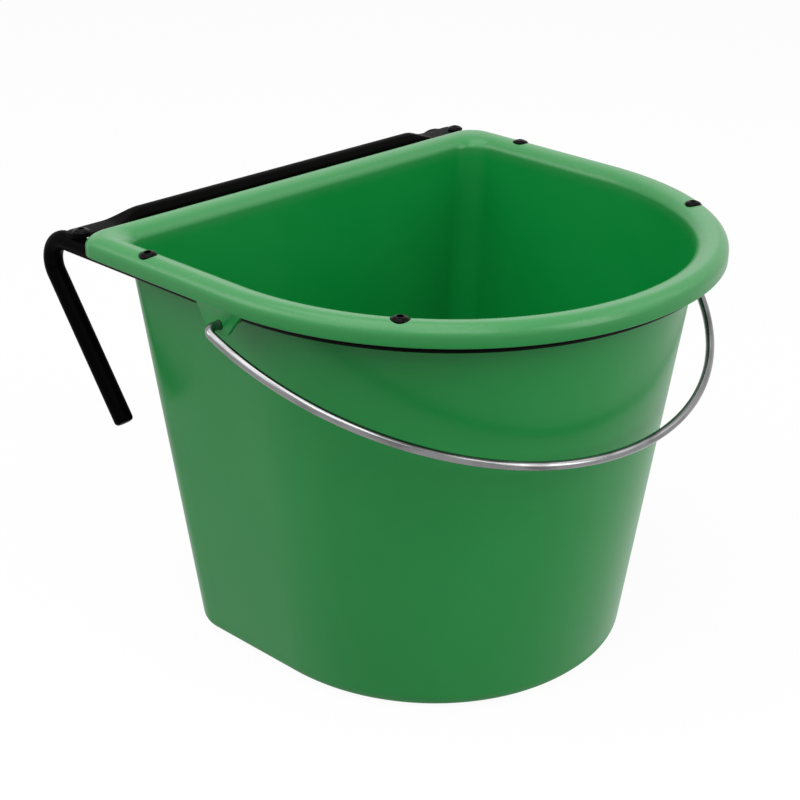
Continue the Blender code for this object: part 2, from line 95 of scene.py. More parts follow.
class Value:
    """A number or a socket of a node tree that Python's operators turn into Math nodes."""

    def __init__(self, sheet: NodeSheet, source: bpy.types.NodeSocket | float) -> None:
        """Keep the sheet that new nodes go on and the socket or number.

        Args:
            sheet: The sheet that the value belongs to.
            source: An output socket, or a plain number.
        """
        self.sheet = sheet
        self.source = source

    def _math(self, operation: str, *operands: Value | float) -> Value:
        """Add a Math node.

        Args:
            operation: The Math node's operation.
            operands: Its inputs in order.

        Returns:
            The node's result.
        """
        settings = {"operation": operation}
        node = self.sheet.node("ShaderNodeMath", settings, dict(enumerate(operands)))
        return Value(self.sheet, node.outputs[0])

    def __add__(self, other: Value | float) -> Value:
        """Return the sum."""
        return self._math("ADD", self, other)

    def __sub__(self, other: Value | float) -> Value:
        """Return the difference."""
        return self._math("SUBTRACT", self, other)

    def __rsub__(self, other: float) -> Value:
        """Return a number minus this value."""
        return self._math("SUBTRACT", other, self)

    def __mul__(self, other: Value | float) -> Value:
        """Return the product."""
        return self._math("MULTIPLY", self, other)

    def larger(self, other: Value | float) -> Value:
        """Return the larger of two values."""
        return self._math("MAXIMUM", self, other)

    def smaller(self, other: Value | float) -> Value:
        """Return the smaller of two values."""
        return self._math("MINIMUM", self, other)

    def ramp_between(self, low: float, high: float) -> Value:
        """Return 0 below low, 1 above high and a smooth rise between them.

        Args:
            low: The value that gives 0.
            high: The value that gives 1.

        Returns:
            The smooth step.
        """
        node = self.sheet.node(
            "ShaderNodeMapRange",
            {"interpolation_type": "SMOOTHSTEP"},
            {"Value": self, "From Min": low, "From Max": high, "To Min": 0.0, "To Max": 1.0},
        )
        return Value(self.sheet, node.outputs["Result"])


@dataclass(frozen=True)
class Grain:
    """A noise pattern: cells in a metre on each axis, finer layers and how strong they are."""

    cells: Point
    detail: float = 2.0
    roughness: float = 0.5


class NodeSheet:
    """A node tree, emptied and ready for new nodes."""

    def __init__(self, tree: bpy.types.NodeTree, output: str) -> None:
        """Empty the tree and add its output.

        Args:
            tree: The tree of a material or a world.
            output: The type of its output node.
        """
        self.tree = tree
        self.tree.nodes.clear()
        self.output = self.tree.nodes.new(output)

    def node(
        self,
        kind: str,
        settings: dict[str, object] | None = None,
        sockets: dict[str | int, object] | None = None,
    ) -> bpy.types.Node:
        """Add a node.

        Args:
            kind: The node's type.
            settings: Its own settings, which are set first.
            sockets: Values or links by input name or number.

        Returns:
            The new node.
        """
        new = self.tree.nodes.new(kind)
        for key, setting in (settings or {}).items():
            setattr(new, key, setting)
        for key, value in (sockets or {}).items():
            self.connect(new.inputs[key], value)
        return new

    def connect(self, socket: bpy.types.NodeSocket, value: object) -> None:
        """Link an output to an input, or set the input's value.

        Args:
            socket: The input.
            value: A Value, an output socket, a number, a colour or a vector.
        """
        if isinstance(value, Value):
            value = value.source
        if isinstance(value, bpy.types.NodeSocket):
            self.tree.links.new(value, socket)
        elif isinstance(value, (tuple, list)) and socket.type == "RGBA":
            socket.default_value = (*value[:3], 1.0)
        else:
            socket.default_value = value

    def seen(self) -> Value:
        """Tell what the camera or a reflection sees from what only gives light.

        Returns:
            1 for a camera, glossy or transmission ray, and 0 for the others.
        """
        path = self.node("ShaderNodeLightPath")
        seen = Value(self, path.outputs["Is Camera Ray"])
        for kind in ("Is Glossy Ray", "Is Transmission Ray"):
            seen = seen.larger(Value(self, path.outputs[kind]))
        return seen

    def surface(self, shader: bpy.types.Node) -> None:
        """Make a shader the tree's result."""
        self.connect(self.output.inputs["Surface"], shader.outputs[0])


class ShaderSheet(NodeSheet):
    """A new material's node tree."""

    MIX_SHARE, MIX_FIRST, MIX_SECOND, MIX_RESULT = 0, 6, 7, 2

    def __init__(self, name: str) -> None:
        """Make the material.

        Args:
            name: The material's name.
        """
        self.material = bpy.data.materials.new(name)
        self.material.use_nodes = True
        super().__init__(self.material.node_tree, "ShaderNodeOutputMaterial")

    def place(self) -> bpy.types.NodeSocket:
        """Return the point in the piece's own coordinates, in metres."""
        return self.node("ShaderNodeTexCoord").outputs["Object"]

    def height(self) -> Value:
        """Return the point's height above the base, in metres."""
        axes = self.node("ShaderNodeSeparateXYZ", sockets={0: self.place()})
        return Value(self, axes.outputs["Z"])

    def noise(self, vector: bpy.types.NodeSocket, grain: Grain) -> Value:
        """Add a noise pattern.

        Args:
            vector: The coordinates it is laid on.
            grain: The pattern's size and layers.

        Returns:
            The pattern, from 0 to 1.
        """
        settings = {"operation": "MULTIPLY"}
        cells = self.node("ShaderNodeVectorMath", settings, {0: vector, 1: grain.cells})
        node = self.node(
            "ShaderNodeTexNoise",
            {"noise_dimensions": "3D"},
            {
                "Vector": cells.outputs[0],
                "Scale": 1.0,
                "Detail": grain.detail,
                "Roughness": grain.roughness,
            },
        )
        return Value(self, node.outputs[0])

    def blend(self, share: Value | float, first: object, second: object) -> bpy.types.NodeSocket:
        """Mix two colours.

        Args:
            share: How much of the second shows.
            first: The colour at 0.
            second: The colour at 1.

        Returns:
            The mixed colour.
        """
        sockets = {self.MIX_SHARE: share, self.MIX_FIRST: first, self.MIX_SECOND: second}
        node = self.node("ShaderNodeMix", {"data_type": "RGBA"}, sockets)
        return node.outputs[self.MIX_RESULT]

    def bump(
        self, height: Value, distance: float, strength: float, under: object = None
    ) -> bpy.types.NodeSocket:
        """Turn a height pattern into a normal.

        Args:
            height: The pattern.
            distance: How far it stands out, in metres.
            strength: How much of it is used.
            under: A normal from another bump below it.

        Returns:
            The bumped normal.
        """
        sockets = {"Height": height, "Distance": distance, "Strength": strength}
        if under is not None:
            sockets["Normal"] = under
        return self.node("ShaderNodeBump", sockets=sockets).outputs[0]

    def principled(self, sockets: dict[str | int, object]) -> bpy.types.Material:
        """Finish the sheet with a Principled shader.

        Args:
            sockets: The shader's values and links.

        Returns:
            The finished material.
        """
        self.surface(self.node("ShaderNodeBsdfPrincipled", sockets=sockets))
        return self.material


@dataclass(frozen=True)
class MouldedPlastic:
    """Green polyethylene: satin walls, a worn floor, a painted sheen that lightens the rim, and
    light scuffs.
    """

    name: str = "moulded_green_plastic"
    green: Colour = (0.002, 0.222, 0.037)
    pale_green: Colour = (0.006, 0.236, 0.043)
    # Painted sheen: this pale green on the rim stands in for the lamps' broad highlight there.
    rim_sheen_green: Colour = (0.052, 0.246, 0.080)
    scuff_green: Colour = (0.040, 0.300, 0.090)
    refraction: float = 1.5
    shine: float = 0.30
    gloss: float = 0.31
    smear: Grain = Grain((30.0, 30.0, 30.0), 4.0, 0.6)
    smear_spread: float = 0.06
    cloud: Grain = Grain((9.0, 9.0, 9.0), 3.0)
    cloud_span: Span = (0.35, 0.7)
    # Heights over which the rim's painted sheen and its gloss fade in.
    rim_span: Span = (0.256, 0.2715)
    rim_gloss: float = 0.27
    rim_sheen_least: float = 0.8
    rim_sheen_cloud: float = 0.4
    worn_span: Span = (0.004, 0.014)
    worn_gloss: float = 0.28
    scratch: Grain = Grain((90.0, 90.0, 900.0), 3.0, 0.7)
    scratch_span: Span = (0.66, 0.74)
    patch: Grain = Grain((22.0, 22.0, 22.0))
    patch_span: Span = (0.52, 0.75)
    scuff_share: float = 0.35
    scuff_gloss: float = 0.3
    wave: Grain = Grain((14.0, 14.0, 4.9), 1.0)
    wave_height: float = 0.0006
    wave_share: float = 0.6
    peel: Grain = Grain((700.0, 700.0, 700.0))
    peel_height: float = 0.00004
    peel_share: float = 0.5

    def material(self) -> bpy.types.Material:
        """Build the material.

        Returns:
            The material.
        """
        sheet = ShaderSheet(self.name)
        place = sheet.place()
        height = sheet.height()
        cloud = sheet.noise(place, self.cloud)
        rim = height.ramp_between(*self.rim_span)
        worn = 1.0 - height.ramp_between(*self.worn_span)
        patches = sheet.noise(place, self.patch).ramp_between(*self.patch_span)
        scratches = sheet.noise(place, self.scratch).ramp_between(*self.scratch_span)
        scuff = scratches * patches * self.scuff_share
        colour = sheet.blend(cloud.ramp_between(*self.cloud_span), self.green, self.pale_green)
        # Painted sheen: the rim and the top of the inner wall are blended towards the pale rim
        # green, which stands in for the lamps' broad highlight; the cloud noise varies it at
        # random.
        rim_sheen_share = rim * (cloud * self.rim_sheen_cloud + self.rim_sheen_least).smaller(1.0)
        colour = sheet.blend(rim_sheen_share, colour, self.rim_sheen_green)
        colour = sheet.blend(scuff, colour, self.scuff_green)
        roughness = rim * (self.rim_gloss - self.gloss) + self.gloss
        smear = sheet.noise(place, self.smear) - NOISE_MIDDLE
        roughness = roughness + smear * self.smear_spread
        roughness = roughness + scuff * self.scuff_gloss + worn * self.worn_gloss
        wave = sheet.noise(place, self.wave)
        peel = sheet.noise(place, self.peel)
        normal = sheet.bump(wave, self.wave_height, self.wave_share)
        normal = sheet.bump(peel, self.peel_height, self.peel_share, normal)
        return sheet.principled(
            {
                "Base Color": colour,
                "Roughness": roughness,
                "Normal": normal,
                "IOR": self.refraction,
                "Specular IOR Level": self.shine,
            }
        )


@dataclass(frozen=True)
class CoatedSteel:
    """Satin coated steel with a fine orange-peel skin and rubbed spots."""

    name: str
    colour: Colour
    rubbed_colour: Colour
    gloss: float
    shine: float
    rub: Grain = Grain((45.0, 45.0, 45.0), 5.0, 0.65)
    rub_span: Span = (0.60, 0.78)
    haze: Grain = Grain((80.0, 80.0, 80.0), 3.0)
    haze_spread: float = 0.16
    peel: Grain = Grain((900.0, 900.0, 900.0))
    peel_height: float = 0.00005
    peel_share: float = 0.6

    def material(self) -> bpy.types.Material:
        """Build the material.

        Returns:
            The material.
        """
        sheet = ShaderSheet(self.name)
        place = sheet.place()
        rubbed = sheet.noise(place, self.rub).ramp_between(*self.rub_span)
        haze = sheet.noise(place, self.haze) - NOISE_MIDDLE
        peel = sheet.noise(place, self.peel)
        return sheet.principled(
            {
                "Base Color": sheet.blend(rubbed, self.colour, self.rubbed_colour),
                "Roughness": haze * self.haze_spread + self.gloss,
                "Specular IOR Level": self.shine,
                "Normal": sheet.bump(peel, self.peel_height, self.peel_share),
            }
        )


BAR_COAT = CoatedSteel(
    "black_coated_bar",
    colour=(0.0007, 0.0008, 0.0007),
    rubbed_colour=(0.0026, 0.0028, 0.0023),
    gloss=0.40,
    shine=0.012,
)
BACK_BAR_COAT = CoatedSteel(
    "dark_back_bar",
    colour=(0.0010, 0.0012, 0.0009),
    rubbed_colour=(0.0045, 0.0055, 0.0040),
    gloss=0.42,
    shine=0.015,
)
BOLT_COAT = CoatedSteel(
    "black_bolt",
    colour=(0.0010, 0.0010, 0.0010),
    rubbed_colour=(0.0040, 0.0040, 0.0040),
    gloss=0.22,
    shine=0.05,
)


@dataclass(frozen=True)
class DrawnWire:
    """Drawn wire with fine lines along its run and duller stains."""

    name: str = "drawn_steel_wire"
    bright: Colour = (0.24, 0.24, 0.245)
    dull: Colour = (0.11, 0.11, 0.11)
    gloss: float = 0.14
    lines: Grain = Grain((12.0, 2600.0, 2600.0), 3.0, 0.6)
    line_spread: float = 0.12
    line_height: float = 0.00003
    line_share: float = 0.5
    stain: Grain = Grain((35.0, 150.0, 150.0), 4.0)
    stain_span: Span = (0.45, 0.75)
    stain_gloss: float = 0.08

    def material(self) -> bpy.types.Material:
        """Build the material.

        Returns:
            The material.
        """
        sheet = ShaderSheet(self.name)
        run = sheet.node("ShaderNodeAttribute", {"attribute_name": RoundBar.RUN}).outputs["Vector"]
        lines = sheet.noise(run, self.lines)
        stain = sheet.noise(run, self.stain)
        stained = stain.ramp_between(*self.stain_span)
        roughness = (lines - NOISE_MIDDLE) * self.line_spread + stain * self.stain_gloss
        return sheet.principled(
            {
                "Base Color": sheet.blend(stained, self.bright, self.dull),
                "Roughness": roughness + self.gloss,
                "Metallic": 1.0,
                "Normal": sheet.bump(lines, self.line_height, self.line_share),
            }
        )


@dataclass(frozen=True)
class StudioWhite:
    """White floor that keeps a soft shadow and looks white in reflections too."""

    name: str = "studio_white"
    near_paint: Colour = (0.86, 0.86, 0.86)
    bounce_paint: Colour = (0.42, 0.42, 0.42)
    glow_share: float = 0.95

    def material(self) -> bpy.types.Material:
        """Build the material.

        Returns:
            The material.
        """
        sheet = ShaderSheet(self.name)
        direct = Value(sheet, sheet.node("ShaderNodeLightPath").outputs["Is Camera Ray"])
        tone = sheet.blend(direct, self.bounce_paint, self.near_paint)
        paint = sheet.node("ShaderNodeBsdfDiffuse", sockets={"Color": tone})
        glow = sheet.node("ShaderNodeEmission", sockets={"Color": WHITE, "Strength": 1.0})
        mixed = {0: sheet.seen() * self.glow_share, 1: paint.outputs[0], 2: glow.outputs[0]}
        sheet.surface(sheet.node("ShaderNodeMixShader", sockets=mixed))
        return sheet.material


# Mesh building


def finished_piece(
    name: str,
    bm: bmesh.types.BMesh,
    material: bpy.types.Material,
    body: Body,
    node: str,
) -> bpy.types.Object:
    """Turn a bmesh into a piece that rides on a body and stands for a CAD node.

    Args:
        name: The piece's name.
        bm: Its mesh, in place, which is freed here.
        material: Its finish.
        body: The body that it rides on.
        node: The CAD node that it replaces.

    Returns:
        The new object.
    """
    piece = plain_object(name, bm)
    piece.data.set_sharp_from_angle(angle=SHARP_ANGLE)
    piece.data.materials.append(material)
    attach(piece, body.value)
    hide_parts(node)
    LOG.info("%s: %d faces on %s", name, len(piece.data.polygons), body.value)
    return piece


def plain_object(name: str, bm: bmesh.types.BMesh) -> bpy.types.Object:
    """Turn a bmesh into a smooth object with its faces outwards.

    Args:
        name: The object's name.
        bm: Its mesh, which is freed here.

    Returns:
        The new object.
    """
    bmesh.ops.recalc_face_normals(bm, faces=bm.faces)
    mesh = bpy.data.meshes.new(name)
    bm.to_mesh(mesh)
    bm.free()
    mesh.shade_smooth()
    made = bpy.data.objects.new(name, mesh)
    bpy.context.scene.collection.objects.link(made)
    return made


def combine(piece: bpy.types.Object, other: bmesh.types.BMesh, join: Join = Join.CUT) -> None:
    """Apply a Boolean to a piece for good, and mark its sharp edges again.

    Args:
        piece: The piece to change.
        other: The other shape, which is freed here.
        join: What is done with it.
    """
    helper = plain_object("helper", other)
    modifier = piece.modifiers.new("combine", "BOOLEAN")
    modifier.operation = join.value
    modifier.solver = "EXACT"
    modifier.object = helper
    graph = bpy.context.evaluated_depsgraph_get()
    result = bpy.data.meshes.new_from_object(piece.evaluated_get(graph), depsgraph=graph)
    piece.modifiers.clear()
    old = piece.data
    piece.data = result
    result.name = old.name
    result.set_sharp_from_angle(angle=SHARP_ANGLE)
    bpy.data.meshes.remove(old)
    bpy.data.meshes.remove(helper.data)


def extrude_ring(
    bm: bmesh.types.BMesh, edges: Sequence[bmesh.types.BMEdge]
) -> tuple[list[bmesh.types.BMVert], list[bmesh.types.BMEdge]]:
    """Extrude a skin's open ring in place.

    Args:
        bm: The skin.
        edges: The ring's edges.

    Returns:
        The new ring's points and its edges.
    """
    made = bmesh.ops.extrude_edge_only(bm, edges=edges)["geom"]
    verts = [item for item in made if isinstance(item, bmesh.types.BMVert)]
    drawn = [item for item in made if isinstance(item, bmesh.types.BMEdge)]
    return verts, [edge for edge in drawn if len(edge.link_faces) == 1]


def close_ends(bm: bmesh.types.BMesh) -> list[bmesh.types.BMFace]:
    """Close a skin's open ends with flat faces, which are returned."""
    open_edges = [edge for edge in bm.edges if len(edge.link_faces) == 1]
    return bmesh.ops.holes_fill(bm, edges=open_edges, sides=0)["faces"]


def lofted(rings: Sequence[Sequence[Point]], closed: bool = True) -> bmesh.types.BMesh:
    """Draw one ring through a row of outlines.

    Args:
        rings: The outlines in order, with as many points each.
        closed: Whether both ends get a face.

    Returns:
        The skin.
    """
    bm = bmesh.new()
    verts = bmesh.ops.create_circle(bm, segments=len(rings[0]), radius=1.0)["verts"]
    edges = list(bm.edges)
    for index, ring in enumerate(rings):
        if index:
            verts, edges = extrude_ring(bm, edges)
        for vert, point in zip(verts, ring):
            vert.co = point
    if closed:
        close_ends(bm)
    return bm


def both_sides(x: float, y: float, z: float, about: str) -> list[Matrix]:
    """Return a place on the left and its mirror on the right.

    Args:
        x: How far they are from the middle.
        y: Their Y.
        z: Their height.
        about: The axis that their own Z is turned about, by a quarter.

    Returns:
        The two places as matrices.
    """
    turn = Matrix.Rotation(math.pi / 2, 4, about)
    return [Matrix.Translation((side * x, y, z)) @ turn for side in (-1, 1)]


def pins(
    places: Sequence[Matrix], radius: float, depth: float, segments: int
) -> bmesh.types.BMesh:
    """Make closed pins.

    Args:
        places: Each pin's middle, with Z along its axis.
        radius: Their radius.
        depth: Their length.
        segments: The facets round each.

    Returns:
        All of them in one mesh.
    """
    bm = bmesh.new()
    for place in places:
        bmesh.ops.create_cone(
            bm,
            cap_ends=True,
            segments=segments,
            radius1=radius,
            radius2=radius,
            depth=depth,
            matrix=place,
        )
    return bm


def even_steps(start: float, end: float, count: int) -> list[float]:
    """Return count + 1 values from start to end.

    Args:
        start: The first value.
        end: The last value.
        count: How many steps lie between them.

    Returns:
        The values, both ends included.
    """
    return [start + (end - start) * i / count for i in range(count + 1)]


def bevel(
    bm: bmesh.types.BMesh,
    edges: Sequence[bmesh.types.BMEdge],
    radius: float,
    segments: int = EDGE_STEPS,
) -> None:
    """Round edges.

    Args:
        bm: The mesh that they belong to.
        edges: The edges.
        radius: The size of the rounding.
        segments: Its facets.
    """
    bmesh.ops.bevel(
        bm, geom=edges, offset=radius, segments=segments, profile=0.5, affect="EDGES", material=-1
    )


class RoundBar:
    """A round bar drawn through straights and bends by extruding and spinning one circle."""

    RUN = "run"

    def __init__(self, radius: float, segments: int, start: Vector, heading: Vector) -> None:
        """Place the first circle.

        Args:
            radius: The bar's radius.
            segments: The facets round it.
            start: The centre of its first end.
            heading: The direction in which it sets off.
        """
        self.bm = bmesh.new()
        self.run_layer = self.bm.verts.layers.float_vector.new(self.RUN)
        turn = heading.to_track_quat("Z", "Y").to_matrix().to_4x4()
        circle = bmesh.ops.create_circle(
            self.bm, segments=segments, radius=radius, matrix=Matrix.Translation(start) @ turn
        )
        self.edges = list(self.bm.edges)
        self.centre = start.copy()
        self.heading = heading.normalized()
        self.length = 0.0
        angles = even_steps(0.0, 2 * math.pi, segments)[:-1]
        self.around = [(math.cos(angle) * radius, math.sin(angle) * radius) for angle in angles]
        self._mark(circle["verts"])

    def _mark(self, ring: Sequence[bmesh.types.BMVert]) -> None:
        """Write how far along and round the bar each point of a ring lies."""
        for vert, (across, up) in zip(ring, self.around):
            vert[self.run_layer] = (self.length, across, up)

    def _grow(self, turn: Matrix, about: Vector, shift: Vector, run: float) -> None:
        """Extrude the end ring, turn it and shift it.

        Args:
            turn: The rotation.
            about: The point that the rotation leaves in place.
            shift: The move after it.
            run: How much longer the bar gets.
        """
        ring, self.edges = extrude_ring(self.bm, self.edges)
        bmesh.ops.rotate(self.bm, verts=ring, cent=about, matrix=turn)
        bmesh.ops.translate(self.bm, verts=ring, vec=shift)
        self.centre = about + turn @ (self.centre - about) + shift
        self.heading = turn @ self.heading
        self.length += run
        self._mark(ring)

    def straight(self, length: float) -> None:
        """Run on in a straight line.

        Args:
            length: How far.
        """
        self._grow(Matrix.Identity(3), self.centre.copy(), self.heading * length, length)

    def bend(self, centre: Vector, axis: Vector, angle: float, steps: int) -> None:
        """Bend round an axis.

        Args:
            centre: A point on the axis.
            axis: The axis, by the right-hand rule.
            angle: How far to turn, in radians.
            steps: The facets of the bend.
        """
        turn = Matrix.Rotation(angle / steps, 3, axis)
        arm = (self.centre - centre).cross(axis).length / axis.length
        for _ in range(steps):
            self._grow(turn, centre, Vector(), arm * angle / steps)

    def follow(self, points: Sequence[Vector], last_heading: Vector) -> None:
        """Run through a row of close points, the first of which is where the bar now ends.

        Args:
            points: The points of the curve.
            last_heading: The direction in which the bar leaves the last one.
        """
        for index in range(1, len(points)):
            heading = last_heading
            if index + 1 < len(points):
                heading = points[index + 1] - points[index - 1]
            turn = self.heading.rotation_difference(heading).to_matrix()
            step = points[index] - self.centre
            self._grow(turn, self.centre.copy(), step, step.length)

    def finish(self, end_round: float) -> bmesh.types.BMesh:
        """Close both ends and round their edges.

        Args:
            end_round: The radius of the ends' edges.

        Returns:
            The closed bar.
        """
        rims = [edge for face in close_ends(self.bm) for edge in face.edges]
        bevel(self.bm, rims, end_round)
        return self.bm


def turned(profile: Sequence[tuple[float, float]], segments: int) -> bmesh.types.BMesh:
    """Turn a profile about the Z axis.

    Args:
        profile: Points as radius and height, from axis to axis.
        segments: The facets round the axis.

    Returns:
        The closed turned shape.
    """
    bm = bmesh.new()
    verts = [bm.verts.new((radius, 0.0, height)) for radius, height in profile]
    edges = [bm.edges.new(pair) for pair in zip(verts, verts[1:])]
    bmesh.ops.spin(
        bm,
        geom=verts + edges,
        cent=(0.0, 0.0, 0.0),
        axis=(0.0, 0.0, 1.0),
        angle=2 * math.pi,
        steps=segments,
        use_merge=True,
    )
    bmesh.ops.remove_doubles(bm, verts=bm.verts, dist=SAME_POINT)
    bmesh.ops.recalc_face_normals(bm, faces=bm.faces)
    return bm


@dataclass(frozen=True)
class BoltPlace:
    """Where one bolt stands."""

    node: str
    anchor: Vector
    tilt: float
    seat: float

    def matrix(self, lift: float = 0.0) -> Matrix:
        """Return a place on the bolt's axis, with Z along it.

        Args:
            lift: How far it is above the bar's centre line.

        Returns:
            The place as a matrix.
        """
        turn = Matrix.Rotation(self.tilt, 4, "Y")
        return Matrix.Translation(self.anchor) @ turn @ Matrix.Translation((0.0, 0.0, lift))


@dataclass(frozen=True)
class Layout:
    """The sizes that several sub-assemblies share, read from the frame where it holds them."""

    bar_radius: float = 0.006
    bar_inset: float = 0.0095
    bar_above_lip: float = 0.0004
    lip_height: float = 0.2584
    front_fullness: float = 2.06
    rim_seat: float = 0.0112
    flat_seat: float = 0.0087
    clearance: float = 0.0003
    wall: float = 0.003
    head_radius: float = 0.00525
    bolt_hole: float = 0.0033
    tapped_depth: float = 0.0095
    pivot_y: float = 0.002
    pivot_height: float = 0.24975
    front_bolt_degrees: tuple[float, float] = (54.0, 58.5)
    side_bolt_y: tuple[float, float] = (0.0722, 0.077)
    side_bolt_tilt: float = math.radians(8)
    corner_bolt_setback: float = 0.0065

    @property
    def half_width(self) -> float:
        """Half the tub's width."""
        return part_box("tub")[1].x

    @property
    def back(self) -> float:
        """The Y of the lip's back face."""
        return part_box("tub")[1].y

    @property
    def track(self) -> float:
        """Half the distance between the bar's two straight sides."""
        return self.half_width - self.bar_inset

    @property
    def bar_height(self) -> float:
        """The height of the bar's centre line."""
        return self.lip_height + self.bar_above_lip

    def front_point(self, half: float, angle: float, height: float) -> Vector:
        """Return a point of the round front, which is a little fuller than a half circle.

        Args:
            half: Half the width of the curve.
            angle: The curve's parameter, from -pi on the left to 0 on the right.
            height: The point's height.

        Returns:
            The point.
        """
        power = 2 / self.front_fullness
        x = half * math.copysign(abs(math.cos(angle)) ** power, math.cos(angle))
        return Vector((x, -half * abs(math.sin(angle)) ** power, height))

    def bolts(self, row: str = "") -> list[BoltPlace]:
        """Return the bolts' places.

        Args:
            row: How the names of the wanted ones begin.

        Returns:
            The places of those bolts, the left ones first.
        """
        places = []
        for index, (side, word) in enumerate(((-1, "left"), (1, "right"))):
            x, z = side * self.track, self.bar_height
            angle = side * math.radians(self.front_bolt_degrees[index]) - math.pi / 2
            front = self.front_point(self.track, angle, z)
            middle = Vector((x, self.side_bolt_y[index], z))
            corner = Vector((x, self.back + self.corner_bolt_setback, z))
            tilt = side * self.side_bolt_tilt
            places.append(BoltPlace(f"rim_bolt_front_{word}", front, 0.0, self.rim_seat))
            places.append(BoltPlace(f"rim_bolt_side_{word}", middle, tilt, self.rim_seat))
            places.append(BoltPlace(f"corner_bolt_{word}", corner, 0.0, self.flat_seat))
        return [place for place in places if place.node.startswith(row)]


@dataclass
class PlanLevel:
    """The tub's plan at one height."""

    side_inset: float
    back_inset: float
    corner_radius: float
    height: float


